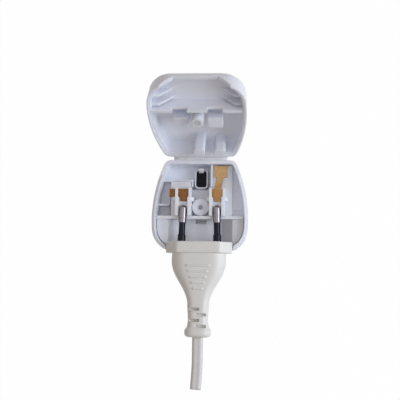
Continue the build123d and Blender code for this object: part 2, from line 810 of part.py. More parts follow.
def plug_body():
    """Moulded two-pin plug: flange, tapering grip, slotted bend relief and end collar."""
    flange = Pos(0, rim_z) * eight_sided(flange_width, flange_height, flange_top_width, flange_side_height,
                                         flange_corner_radius)
    body = along_y(flange, flange_rear_y, flange_front_y)
    shoulder_y = flange_rear_y - shoulder_length
    stations = [
        plug_station(shoulder_width, shoulder_height, flange_rear_y),
        plug_station(shoulder_width, shoulder_height, shoulder_y),
        plug_station(brow_width, brow_height, shoulder_y - brow_length),
        plug_station(waist_width, waist_height, shoulder_y - waist_length),
        plug_station(neck_width, neck_height, taper_rear_y),
    ]
    body += loft(stations[:2])
    body += loft(stations[1:])
    body += loft([stations[-1], plug_station(neck_width, neck_height, collar_front_y)])
    collar_face = Pos(0, rim_z) * Ellipse(collar_width / 2, collar_height / 2)
    collar = along_y(collar_face, collar_rear_y, collar_front_y)
    body += fillet(collar.edges(), collar_edge_radius)
    body += grip_bars()
    body -= relief_slots()
    body -= along_y(Pos(0, rim_z) * cord_section(), collar_rear_y, collar_rear_y + cord_pocket_depth)
    for side in (-1, 1):
        body -= round_pin_bore(side)
    return body


def cord_stub():
    """Short cut end of the flat cord, from its pocket in the collar."""
    points = [(x, collar_rear_y + y, rim_z) for x, y in cord_steps]
    radii = []
    for before, corner, after in zip(points, points[1:], points[2:]):
        run_in = Vector(*corner) - Vector(*before)
        run_out = Vector(*after) - Vector(*corner)
        half_turn = math.radians(run_in.get_angle(run_out)) / 2
        radii.append(cord_bend_share * min(run_in.length, run_out.length) / math.tan(half_turn))
    print("cord radii", [round(r, 1) for r in radii])
    path = FilletPolyline(*points, radius=radii)
    section = Plane.XZ.offset(-points[0][1]) * (Pos(points[0][0], rim_z) * cord_section())
    cord = sweep(section, path)
    print("cord volume", round(cord.volume, 1), "section x length", round(section.area * path.length, 1))
    return cord


def lid_ribs():
    """Gusset ribs in the lid's front corners whose slanted edges stand clear of the plug's upper half."""
    hold = flange_section(lid_rib_clearance)
    ribs = Part()
    for index in range(lid_rib_count):
        y0 = front_wall_y + wall + lid_rib_start + index * lid_rib_pitch
        y1 = y0 + lid_rib_thickness
        for hand in (-1, 1):
            inner = hand * flange_top_width / 2
            rib = block(min(inner, hand * beyond), max(inner, hand * beyond), y0, y1, rim_z + lid_rib_lift,
                        lid_ceiling_z + lid_plate / 2)
            ribs += rib - along_y(hold, y0, y1)
    return ribs


def lid_bridge():
    """Cross wall that closes over the carrier's partition, notched over both pins."""
    low = rim_z + lid_bridge_lift
    bridge = block(-beyond, beyond, partition_front_y, partition_rear_y, low, lid_ceiling_z + lid_plate / 2)
    half = lid_bridge_notch / 2
    x = round_pin_x(partition_front_y)
    for hand in (-1, 1):
        bridge -= block(hand * x - half, hand * x + half, partition_front_y, partition_rear_y, low,
                        low + lid_bridge_notch_depth)
    return bridge


def lid_posts():
    """Posts from the lid's ceiling: two pin pressers, one over the earth pin's hook, one over the fuse."""
    top = lid_ceiling_z + lid_plate / 2
    press_z = rim_z + round_pin_radius + post_clearance
    half = lid_presser_width / 2
    rear_y = contact_shoulder_y + lid_presser_overhang
    posts = Part()
    for x in (-contact_x, contact_x):
        posts += block(x - half, x + half, rear_y - lid_presser_length, rear_y, press_z, top)
    foot_z = snap_lip_z + snap_height + post_clearance
    earth_face = RectangleRounded(earth_post_width, earth_post_depth, post_corner_radius)
    posts += extrude(Pos(0, earth_y + earth_post_shift, foot_z) * earth_face, top - foot_z)
    foot_z = contact_top + post_clearance
    middle_y = fuse_plate_front_y + fuse_post_setback + fuse_post_depth / 2
    fuse_face = RectangleRounded(fuse_post_width, fuse_post_depth, post_corner_radius)
    return posts + extrude(Pos(fuse_plate_x, middle_y, foot_z) * fuse_face, top - foot_z)


def lid_shell():
    """Domed lid with its ribs, cross wall, posts and screw boss, swung open."""
    low = rim_z + rim_gap
    lid = tapered(0, low, lid_top_z)
    lid = fillet(lid.edges().group_by(Axis.Z)[-1], lid_edge_radius)
    lid -= tapered(wall, low, lid_ceiling_z)
    lid -= outline_prism(wall - rim_lip_thickness - rim_lip_clearance, rim_z,
                         rim_z + rim_lip_height + rim_lip_clearance)
    lid += hinge_land(rim_z + rim_gap / 2, rim_z + hinge_land_height)
    inside = lid_ribs() + lid_bridge() + lid_posts()
    inside += post(0, screw_y, lid_boss_radius, lid_boss_z, lid_ceiling_z + lid_plate / 2)
    lid += inside & outline_prism(wall, 0, lid_top_z - lid_plate / 2)
    lid -= plug_way_in()
    lid -= post(0, screw_y, screw_head_radius + screw_clearance, screw_seat_z, lid_top_z)
    lid -= post(0, screw_y, screw_shank_radius + screw_clearance, lid_boss_z, screw_seat_z)
    return open_lid(lid)


def closing_screw():
    """Captive cross-head screw, backed out of the base and standing in the lid's boss."""
    seat = screw_seat_z + screw_retract
    top = seat + screw_head_height
    screw = post(0, screw_y, screw_head_radius, seat, top)
    screw = fillet(screw.edges().group_by(Axis.Z)[-1], screw_head_edge)
    screw += post(0, screw_y, screw_shank_radius, seat - screw_length, seat)
    reach = screw_slot_length / 2
    half = screw_slot_width / 2
    deep = top - screw_slot_depth
    screw -= block(-reach, reach, screw_y - half, screw_y + half, deep, top)
    screw -= block(-half, half, screw_y - reach, screw_y + reach, deep, top)
    return open_lid(screw)


def hinge_film():
    """Thin moulded web between base and lid, bent at the hinge axis."""
    root_y = hinge_wall_y + hinge_land_proud
    turn = math.radians(lid_open_angle)

    def side(depth):
        """Base root, bend and lid root of the face that lies this deep below the parting plane."""
        reach = root_y - hinge_y
        bend = (hinge_y + depth / math.tan(turn / 2), rim_z - depth)
        swung_y = hinge_y + reach * math.cos(turn) + depth * math.sin(turn)
        swung_z = rim_z - reach * math.sin(turn) + depth * math.cos(turn)
        return [(root_y, rim_z - depth), bend, (swung_y, swung_z)]

    inner = side(rim_gap / 2)
    outer = side(rim_gap / 2 + hinge_thickness)
    face = polygon(*inner, *reversed(outer))
    nearest = face.vertices().sort_by_distance((*inner[1], 0))[0]
    face = fillet(nearest, hinge_bend_radius)
    nearest = face.vertices().sort_by_distance((*outer[1], 0))[0]
    face = fillet(nearest, hinge_bend_radius + hinge_thickness)
    return along_x(face, -hinge_width / 2, hinge_width / 2)


def pieces():
    """Every piece by the name of its file."""
    return {
        "base_shell": base_shell(),
        "contact_carrier": contact_carrier(),
        "hinge_film": hinge_film(),
        "lid_shell": lid_shell(),
        "closing_screw": closing_screw(),
        "live_pin": flat_pin(pin_x),
        "neutral_pin": flat_pin(-pin_x),
        "live_pin_sleeve": flat_pin_sleeve(pin_x),
        "neutral_pin_sleeve": flat_pin_sleeve(-pin_x),
        "earth_pin": earth_pin(),
        "fuse_tube": fuse_tube(),
        "fuse_cap_front": fuse_cap(fuse_front_y, 1),
        "fuse_cap_rear": fuse_cap(fuse_rear_y, -1),
        "fuse_cover": fuse_cover(),
        "fuse_clip": fuse_clip(),
        "left_contact_holder": contact_holder(-1),
        "right_contact_holder": contact_holder(1),
        "live_contact": live_contact(),
        "neutral_contact": neutral_contact(),
        "plug_body": plug_body(),
        "plug_pin_left": round_pin(-1),
        "plug_pin_right": round_pin(1),
        "plug_pin_sleeve_left": round_pin_sleeve(-1),
        "plug_pin_sleeve_right": round_pin_sleeve(1),
        "cord_stub": cord_stub(),
    }


os.makedirs("parts", exist_ok=True)
for name, piece in pieces().items():
    export_step(piece, os.path.join("parts", name + ".step"))
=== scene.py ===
"""Looks of the open converter plug with a small two-pin plug seated in it.

Everything is in metres in the part's own frame: the pin face is z = 0 with the pins pointing down, the
hinge is on the +Y side and the cord leaves towards -Y. Sizes in millimetres end in _mm.
"""
import logging
import math
from dataclasses import dataclass
from enum import Enum

import bmesh
import bpy
import numpy as np
from mathutils import Matrix, Vector


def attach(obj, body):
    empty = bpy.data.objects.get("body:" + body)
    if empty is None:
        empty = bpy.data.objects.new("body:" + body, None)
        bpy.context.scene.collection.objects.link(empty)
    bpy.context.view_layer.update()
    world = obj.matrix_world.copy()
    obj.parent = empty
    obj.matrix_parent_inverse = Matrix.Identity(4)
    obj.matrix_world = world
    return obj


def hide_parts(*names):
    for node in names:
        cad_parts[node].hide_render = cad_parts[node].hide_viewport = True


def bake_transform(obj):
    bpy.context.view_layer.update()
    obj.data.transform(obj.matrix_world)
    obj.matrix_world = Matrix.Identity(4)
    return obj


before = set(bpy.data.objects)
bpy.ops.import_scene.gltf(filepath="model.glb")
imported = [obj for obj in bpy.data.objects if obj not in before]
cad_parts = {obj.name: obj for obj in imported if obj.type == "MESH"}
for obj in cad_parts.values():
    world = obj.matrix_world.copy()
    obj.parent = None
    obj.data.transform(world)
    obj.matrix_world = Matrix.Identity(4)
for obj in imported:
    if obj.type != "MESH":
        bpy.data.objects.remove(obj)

MM = 0.001
# Height of the tray's rim, and so of the hinge's axis and of the small plug's and cord's middle
RIM_Z_MM = 12.45
# Points of a computed surface that lie closer than this are one point
JOIN_MM = 0.0005
# Sockets of a colour mix node, whose names are shared by its other kinds
MIX_SHARE, MIX_A, MIX_B, MIX_COLOUR = 0, 6, 7, 2
LOG = logging.getLogger("converter_plug")


class Body(Enum):
    """The two rigid bodies that the lid's hinge joins."""

    BASE = "base"
    LID = "lid"


class Slot(Enum):
    """Material slots of the part's record."""

    HOUSING = "housing_white"
    HOLDER = "holder_white"
    BLACK = "black_plastic"
    CREAM = "cream_plastic"
    CORD = "cord_plastic"
    BRASS = "brass"
    NICKEL = "nickel"
    STEEL = "plated_steel"
    CERAMIC = "fuse_ceramic"


class Grain(Enum):
    """Direction that a metal's surface lines run in, as the stretch of its pattern along x, y and z."""

    ALONG_Y = (1.0, 0.04, 1.0)
    ROUND_Y = (0.12, 1.0, 0.12)
    EVEN = (1.0, 1.0, 1.0)


def linear(hex_code: str) -> tuple[float, float, float, float]:
    """Turn an sRGB hex colour into linear RGBA.

    Args:
        hex_code: Colour as #RRGGBB.

    Returns:
        Red, green, blue and alpha for a shader socket.
    """
    srgb = np.array([int(hex_code[i:i + 2], 16) for i in (1, 3, 5)]) / 255.0
    flat = np.where(srgb <= 0.04045, srgb / 12.92, ((srgb + 0.055) / 1.055) ** 2.4)
    return (float(flat[0]), float(flat[1]), float(flat[2]), 1.0)


def add_node(tree: bpy.types.NodeTree, kind: str, inputs: dict[str | int, object] | None = None,
             links: dict[str | int, bpy.types.NodeSocket] | None = None,
             **settings: object) -> bpy.types.Node:
    """Add one shader node with its settings, values and links.

    Args:
        tree: Node tree that gets the node.
        kind: Blender's type name of the node.
        inputs: Values by input name or number.
        links: Output sockets by the name or number of the input that they feed.
        **settings: Attributes of the node.

    Returns:
        The new node.
    """
    node = tree.nodes.new(kind)
    for key, value in settings.items():
        setattr(node, key, value)
    for key, value in (inputs or {}).items():
        node.inputs[key].default_value = value
    for key, socket in (links or {}).items():
        tree.links.new(socket, node.inputs[key])
    return node


def per_mm(size_mm: float) -> float:
    """Pattern scale, in repeats per metre, of a pattern whose features are this large."""
    return 1.0 / (size_mm * MM)


@dataclass(frozen=True)
class MouldedPlastic:
    """Injection-moulded plastic: even colour, faint clouding, fine spark-eroded grain and soft gloss."""

    name: str
    slot: Slot
    colour: str
    cloud: str
    roughness: float
    ior: float = 1.53
    specular: float = 0.5
    subsurface: float = 0.0
    subsurface_mm: float = 1.0
    gloss_swing: float = 0.06
    cloud_mm: float = 7.0
    grain_mm: float = 0.4
    grain_height_mm: float = 0.006

    def material(self) -> bpy.types.Material:
        """Build the shader: clouded colour, varied roughness and a fine bump from the mould's surface.

        Returns:
            The finished material.
        """
        material = bpy.data.materials.new(self.name)
        material.use_nodes = True
        tree = material.node_tree
        shader = tree.nodes["Principled BSDF"]
        place = add_node(tree, "ShaderNodeTexCoord").outputs["Object"]
        clouds = add_node(tree, "ShaderNodeTexNoise", {"Scale": per_mm(self.cloud_mm), "Detail": 3.0},
                          {"Vector": place})
        grain = add_node(tree, "ShaderNodeTexNoise", {"Scale": per_mm(self.grain_mm), "Detail": 2.0},
                         {"Vector": place})
        tone = add_node(tree, "ShaderNodeMix", {MIX_A: linear(self.colour), MIX_B: linear(self.cloud)},
                        {MIX_SHARE: clouds.outputs["Fac"]}, data_type="RGBA")
        gloss = add_node(tree, "ShaderNodeMapRange",
                         {"To Min": self.roughness - self.gloss_swing,
                          "To Max": self.roughness + self.gloss_swing},
                         {"Value": clouds.outputs["Fac"]})
        bump = add_node(tree, "ShaderNodeBump", {"Distance": self.grain_height_mm * MM},
                        {"Height": grain.outputs["Fac"]})
        tree.links.new(tone.outputs[MIX_COLOUR], shader.inputs["Base Color"])
        tree.links.new(gloss.outputs["Result"], shader.inputs["Roughness"])
        tree.links.new(bump.outputs["Normal"], shader.inputs["Normal"])
        shader.inputs["IOR"].default_value = self.ior
        shader.inputs["Specular IOR Level"].default_value = self.specular
        shader.inputs["Subsurface Weight"].default_value = self.subsurface
        shader.inputs["Subsurface Radius"].default_value = (1.0, 1.0, 1.0)
        shader.inputs["Subsurface Scale"].default_value = self.subsurface_mm * MM
        return material


@dataclass(frozen=True)
class WorkedMetal:
    """Stamped, turned or plated metal: fine working lines, small gloss changes and duller spots."""

    name: str
    slot: Slot
    colour: str
    dull: str
    roughness: float
    grain: Grain
    gloss_swing: float = 0.1
    line_mm: float = 0.12
    line_height_mm: float = 0.004
    spot_mm: float = 1.6
    spot_edges: tuple[float, float] = (0.35, 0.75)
    dull_span_mm: tuple[float, float] | None = None

    def material(self) -> bpy.types.Material:
        """Build the shader: spotted colour, and working lines in roughness and bump.

        Returns:
            The finished material.
        """
        material = bpy.data.materials.new(self.name)
        material.use_nodes = True
        tree = material.node_tree
        shader = tree.nodes["Principled BSDF"]
        place = add_node(tree, "ShaderNodeTexCoord").outputs["Object"]
        stretched = add_node(tree, "ShaderNodeMapping", {"Scale": self.grain.value}, {"Vector": place})
        lines = add_node(tree, "ShaderNodeTexNoise", {"Scale": per_mm(self.line_mm), "Detail": 2.0},
                         {"Vector": stretched.outputs["Vector"]})
        spots = add_node(tree, "ShaderNodeTexNoise", {"Scale": per_mm(self.spot_mm), "Detail": 4.0},
                         {"Vector": place})
        share = add_node(tree, "ShaderNodeMapRange",
                         {"From Min": self.spot_edges[0], "From Max": self.spot_edges[1]},
                         {"Value": spots.outputs["Fac"]}).outputs["Result"]
        # Mix towards the darker colour across a span of y, from the span's first end to its second
        if self.dull_span_mm:
            along = add_node(tree, "ShaderNodeSeparateXYZ", {}, {"Vector": place}).outputs["Y"]
            clean, dull = self.dull_span_mm
            span_share = add_node(tree, "ShaderNodeMapRange", {"From Min": clean * MM, "From Max": dull * MM},
                              {"Value": along}).outputs["Result"]
            share = add_node(tree, "ShaderNodeMath", {}, {0: share, 1: span_share}, operation="ADD",
                             use_clamp=True).outputs[0]
        tone = add_node(tree, "ShaderNodeMix", {MIX_A: linear(self.colour), MIX_B: linear(self.dull)},
                        {MIX_SHARE: share}, data_type="RGBA")
        gloss = add_node(tree, "ShaderNodeMapRange",
                         {"To Min": self.roughness - self.gloss_swing,
                          "To Max": self.roughness + self.gloss_swing},
                         {"Value": lines.outputs["Fac"]})
        bump = add_node(tree, "ShaderNodeBump", {"Distance": self.line_height_mm * MM},
                        {"Height": lines.outputs["Fac"]})
        tree.links.new(tone.outputs[MIX_COLOUR], shader.inputs["Base Color"])
        tree.links.new(gloss.outputs["Result"], shader.inputs["Roughness"])
        tree.links.new(bump.outputs["Normal"], shader.inputs["Normal"])
        shader.inputs["Metallic"].default_value = 1.0
        return material


# White ABS of the housing: cool, semi-gloss, faintly clouded where the melt flowed, thin walls let light by
HOUSING_ABS = MouldedPlastic("white_abs_moulded", Slot.HOUSING, "#E7EAF5", "#EAEDF7", 0.38, subsurface=0.6,
                             subsurface_mm=3.0)
# Natural nylon of the forks: brighter and slightly see-through at its edges
HOLDER_NYLON = MouldedPlastic("white_nylon_moulded", Slot.HOLDER, "#F0F3FC", "#F4F6FD", 0.34,
                              subsurface=0.2)
# Glass-filled black nylon of the earth pin and flat pins' sleeves: near black with a satin skin
BLACK_NYLON = MouldedPlastic("black_nylon_moulded", Slot.BLACK, "#080A12", "#0C0E16", 0.34, specular=0.08)
# Unfilled black nylon of the round pins' sleeves: its colour tinted blue as a painted reflection of the
# bluish key lamp, and a clear highlight along each sleeve
SLEEVE_NYLON = MouldedPlastic("black_nylon_painted_blue_reflection", Slot.BLACK, "#05071A", "#080B20", 0.15, specular=0.15)
# Soft PVC moulded over the small plug: warm ivory with a waxy sheen
PLUG_PVC = MouldedPlastic("ivory_pvc_moulded", Slot.CREAM, "#E3E2DF", "#E8E7E4", 0.42, subsurface=0.08)
# PVC sheath of the flat cord: pale grey, drawn through a die
CORD_PVC = MouldedPlastic("pale_pvc_sheath", Slot.CORD, "#D8D7D6", "#DFDEDD", 0.4, grain_mm=0.7)
# White steatite tube of the fuse: matt and faintly granular
FUSE_CERAMIC = MouldedPlastic("white_steatite", Slot.CERAMIC, "#E8E4DA", "#DDD8CC", 0.7,
                              grain_height_mm=0.01)
# Half-hard brass strip: stamped, golden, with rolling lines, darker and browner towards -Y from y = 10 mm
# to y = 3 mm
CONTACT_BRASS = WorkedMetal("stamped_brass", Slot.BRASS, "#9E8460", "#8C6840", 0.36, Grain.ALONG_Y,
                            spot_mm=0.8, dull_span_mm=(10.0, 3.0))
# The same strip on the neutral side, coloured darker and browner: painted shade for the shadow it lies in
SHADE_PAINTED_BRASS = WorkedMetal("shade_painted_brass", Slot.BRASS, "#785131", "#5C3D24", 0.4, Grain.ALONG_Y,
                              spot_mm=1.2)
# Bright drawn brass of the flat pins: yellow, with a soft sheen and faint handling marks
PIN_BRASS = WorkedMetal("drawn_brass", Slot.BRASS, "#D2AC62", "#BE9247", 0.27, Grain.EVEN)
# Nickel plate on turned brass: grey, with one sharp bright streak and faint turning lines round the pin
PIN_NICKEL = WorkedMetal("nickel_plate_turned", Slot.NICKEL, "#7E7A7E", "#706C70", 0.14, Grain.ROUND_Y)
# Zinc plate on a cold-headed steel screw: pale blue-grey and half dull
SCREW_ZINC = WorkedMetal("zinc_plated_steel", Slot.STEEL, "#B9BBC0", "#9FA1A8", 0.34, Grain.EVEN)


def dress(piece: bpy.types.Object, finish: MouldedPlastic | WorkedMetal) -> None:
    """Give a piece one finish all over.

    Args:
        piece: Object to dress.
        finish: Finish whose material it takes.
    """
    material = bpy.data.materials.get(finish.name) or finish.material()
    piece.data.materials.clear()
    piece.data.materials.append(material)


def new_piece(name: str, points: np.ndarray, faces: np.ndarray) -> bpy.types.Object:
    """Put a computed surface into a new smooth-shaded object, with meeting points joined.

    Args:
        name: Name of the piece.
        points: Vertex places in metres, one row each.
        faces: Vertex numbers of each four-sided face, one row each.

    Returns:
        The new object, linked to the scene.
    """
    mesh = bpy.data.meshes.new(name)
    mesh.from_pydata(points.tolist(), [], faces.tolist())
    form = bmesh.new()
    form.from_mesh(mesh)
    bmesh.ops.remove_doubles(form, verts=form.verts, dist=JOIN_MM * MM)
    bmesh.ops.recalc_face_normals(form, faces=form.faces)
    form.to_mesh(mesh)
    form.free()
    mesh.shade_smooth()
    piece = bpy.data.objects.new(name, mesh)
    bpy.context.scene.collection.objects.link(piece)
    return piece


def tube_faces(stations: int, around: int) -> np.ndarray:
    """Quads between neighbouring closed loops of points.

    Args:
        stations: Number of loops.
        around: Number of points in each loop.

    Returns:
        Vertex numbers of each face, with the loops numbered one after another.
    """
    along, turn = np.meshgrid(np.arange(stations - 1), np.arange(around), indexing="ij")
    after = (turn + 1) % around
    here, there = along * around, (along + 1) * around
    return np.stack([here + turn, here + after, there + after, there + turn], axis=-1).reshape(-1, 4)


def rise(low: float, high: float, value: np.ndarray) -> np.ndarray:
    """Go smoothly from 0 at the low value to 1 at the high one, with level ends.

    Args:
        low: Value that gives 0.
        high: Value that gives 1; it may lie below the low one.
        value: Values to judge.

    Returns:
        Share of the way, 3t^2 - 2t^3 for each value.
    """
    t = np.clip((value - low) / (high - low), 0.0, 1.0)
    return t * t * (3.0 - 2.0 * t)


def through(knots: np.ndarray, places: np.ndarray) -> np.ndarray:
    """Run a smooth curve through rows of values: a cubic Hermite spline with central slopes.

    Args:
        knots: Place of each row in the first column and its values in the others, places rising.
        places: Places to read.

    Returns:
        Values at the places, one row each.
    """
    at, values = knots[:, 0], knots[:, 1:]
    slopes = np.gradient(values, at, axis=0)
    k = np.clip(np.searchsorted(at, places) - 1, 0, len(at) - 2)
    span = (at[k + 1] - at[k])[:, None]
    t = np.clip((places - at[k])[:, None] / span, 0.0, 1.0)
    before = (1 + 2 * t) * (1 - t) ** 2 * values[k] + t * (1 - t) ** 2 * span * slopes[k]
    after = t * t * (3 - 2 * t) * values[k + 1] - t * t * (1 - t) * span * slopes[k + 1]
    return before + after


@dataclass(frozen=True)
class SolidPiece:
    """A rigid piece that keeps its CAD solid's form, with its moulded or worked edges rounded off."""

    node: str
    name: str
    body: Body
    finish: MouldedPlastic | WorkedMetal
    edge_mm: float
    sharp_deg: float = 32.0
    merge_mm: float = 0.001
    flat_deg: float = 0.5
    edge_steps: int = 3

    def build(self) -> bpy.types.Object:
        """Copy the solid, merge its triangles into clean convex faces and round the sharp edges.

        Returns:
            The finished piece, riding on its body in place of the node.
        """
        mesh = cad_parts[self.node].data.copy()
        mesh.name = self.name
        form = bmesh.new()
        form.from_mesh(mesh)
        bmesh.ops.remove_doubles(form, verts=form.verts, dist=self.merge_mm * MM)
        bmesh.ops.dissolve_limit(form, angle_limit=math.radians(self.flat_deg), verts=form.verts,
                                 edges=form.edges)
        bmesh.ops.connect_verts_concave(form, faces=form.faces)
        form.to_mesh(mesh)
        form.free()
        mesh.shade_smooth()
        piece = bpy.data.objects.new(self.name, mesh)
        bpy.context.scene.collection.objects.link(piece)
        rounding = piece.modifiers.new("rounded_edges", "BEVEL")
        rounding.width = self.edge_mm * MM
        rounding.segments = self.edge_steps
        rounding.limit_method = "ANGLE"
        rounding.angle_limit = math.radians(self.sharp_deg)
        rounding.use_clamp_overlap = False
        rounding.loop_slide = False
        even = piece.modifiers.new("even_shading", "WEIGHTED_NORMAL")
        even.keep_sharp = True
        dress(piece, self.finish)
        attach(piece, self.body.value)
        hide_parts(self.node)
        return piece


@dataclass(frozen=True)
class FilmHinge:
    """Thin moulded web between the tray and the lid, necked in its middle and bent at the hinge axis."""

    width_mm: float = 27.8
    axis_y_mm: float = 21.215
    axis_z_mm: float = RIM_Z_MM
    root_reach_mm: float = 0.75
    depth_mm: float = 0.35
    root_thickness_mm: float = 0.5
    neck_thickness_mm: float = 0.34
    open_deg: float = 129.0
    steps: int = 24
    root_steps: int = 3
    across: int = 9

    def swung(self, reach_mm: float, turn: float) -> np.ndarray:
        """Place in the y-z plane of a point this far from the axis, turned with the lid by an angle."""
        y = -reach_mm * math.cos(turn) + self.depth_mm * math.sin(turn)
        z = reach_mm * math.sin(turn) + self.depth_mm * math.cos(turn)
        return np.array([self.axis_y_mm + y, self.axis_z_mm + z])

    def build(self) -> bpy.types.Object:
        """Carry the bent web's section across the hinge.

        The middle line is a parabola from the tray's land to the lid's land that bends at the hinge, and
        the two faces stand off it by half the thickness, which falls to the neck as sine squared.

        Returns:
            The finished film, bent between tray and lid.
        """
        turn = math.radians(self.open_deg)
        start = np.array([self.axis_y_mm - self.root_reach_mm, self.axis_z_mm - self.depth_mm])
        end = self.swung(self.root_reach_mm, turn)
        bend_y = self.axis_y_mm + self.depth_mm / math.tan(turn / 2)
        bend = np.array([bend_y, self.axis_z_mm - self.depth_mm])
        t = np.linspace(0, 1, self.steps)[:, None]
        line = (1 - t) ** 2 * start + 2 * t * (1 - t) * bend + t ** 2 * end
        run = np.gradient(line, axis=0)
        run /= np.linalg.norm(run, axis=1, keepdims=True)
        normal = np.stack([-run[:, 1], run[:, 0]], axis=1)
        thin = (self.root_thickness_mm - self.neck_thickness_mm) * np.sin(math.pi * t) ** 2
        half = (self.root_thickness_mm - thin) / 2
        loop = np.concatenate([line + half * normal, (line - half * normal)[::-1]])
        x = np.linspace(-self.width_mm / 2, self.width_mm / 2, self.across)
        points = np.empty((self.across, len(loop), 3))
        points[:, :, 0] = x[:, None]
        points[:, :, 1:] = loop[None]
        sides = tube_faces(self.across, len(loop))
        k = np.arange(self.steps - 1)
        far = 2 * self.steps - 1 - k
        near_cap = np.stack([k + 1, k, far, far - 1], axis=-1)
        far_cap = near_cap[:, ::-1] + (self.across - 1) * len(loop)
        faces = np.concatenate([sides, near_cap, far_cap])
        piece = new_piece("film_hinge", points.reshape(-1, 3) * MM, faces)
        dress(piece, HOUSING_ABS)
        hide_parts("hinge_film")
        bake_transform(piece)
        return piece


@dataclass(frozen=True)
class CordStub:
    """Short cut end of the flat twin cord, laid on its route."""

    route_mm: tuple[tuple[float, float], ...] = (
        (0.0, -63.115), (0.0, -76.115), (0.1, -86.515), (-0.7, -97.515),
    )
    height_mm: float = RIM_Z_MM
    exit_y_mm: float = -71.115
    width_mm: float = 5.7
    thickness_mm: float = 3.5
    length_mm: float = 34.43
    groove_mm: float = 0.22
    groove_half_mm: float = 0.6125
    side_sharpness: float = 4.0
    around: int = 56
    spline_steps: int = 16
    spline_order: int = 3

    def line(self) -> np.ndarray:
        """Read the points of the route's smooth spline.

        Returns:
            Points along the cord's middle, in metres, from the plug to the cut end.
        """
        curve = bpy.data.curves.new("cord_route", "CURVE")
        curve.dimensions = "3D"
        curve.resolution_u = self.spline_steps
        spline = curve.splines.new("NURBS")
        spline.points.add(len(self.route_mm) - 1)
        controls = [(x * MM, y * MM, self.height_mm * MM, 1.0) for x, y in self.route_mm]
        spline.points.foreach_set("co", np.ravel(controls))
        spline.order_u = self.spline_order
        spline.use_endpoint_u = True
        holder = bpy.data.objects.new("cord_route", curve)
        bpy.context.scene.collection.objects.link(holder)
        bpy.context.view_layer.update()
        mesh = bpy.data.meshes.new_from_object(holder)
        points = np.empty(len(mesh.vertices) * 3)
        mesh.vertices.foreach_get("co", points)
        bpy.data.meshes.remove(mesh)
        bpy.data.objects.remove(holder)
        bpy.data.curves.remove(curve)
        return points.reshape(-1, 3)

    def section(self) -> np.ndarray:
        """Flat section: two half circles joined by straight runs, with a faint groove between the cores.

        Returns:
            Places across and up, in millimetres, going round once.
        """
        turn = np.linspace(0, 2 * math.pi, self.around, endpoint=False)
        radius = self.thickness_mm / 2
        straight = self.width_mm / 2 - radius
        across = radius * np.cos(turn) + straight * np.tanh(self.side_sharpness * np.cos(turn))
        dip = self.groove_mm * np.exp(-(across / self.groove_half_mm) ** 2)
        up = np.sign(np.sin(turn)) * np.maximum(np.abs(radius * np.sin(turn)) - dip, 0.0)
        return np.stack([across, up], axis=1)

    def build(self) -> bpy.types.Object:
        """Carry the section along the spline and close both ends.

        Returns:
            The finished cord.
        """
        line = self.line()
        run = np.gradient(line, axis=0)
        run /= np.linalg.norm(run, axis=1, keepdims=True)
        up = np.array([0.0, 0.0, 1.0])
        side = np.cross(run, up)
        shape = self.section() * MM
        sideways = shape[None, :, :1] * side[:, None]
        loops = line[:, None] + sideways + shape[None, :, 1:] * up
        count = len(line)
        faces = tube_faces(count, self.around)[:, ::-1]
        k = np.arange(self.around // 2 - 1)
        mirror = (self.around - k) % self.around
        near_cap = np.stack([k, k + 1, self.around - k - 1, mirror], axis=-1)
        far_cap = near_cap[:, ::-1] + (count - 1) * self.around
        piece = new_piece("cord_sheath", loops.reshape(-1, 3), np.concatenate([faces, near_cap, far_cap]))
        dress(piece, CORD_PVC)
        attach(piece, Body.BASE.value)
        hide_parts("cord_stub")
        return piece


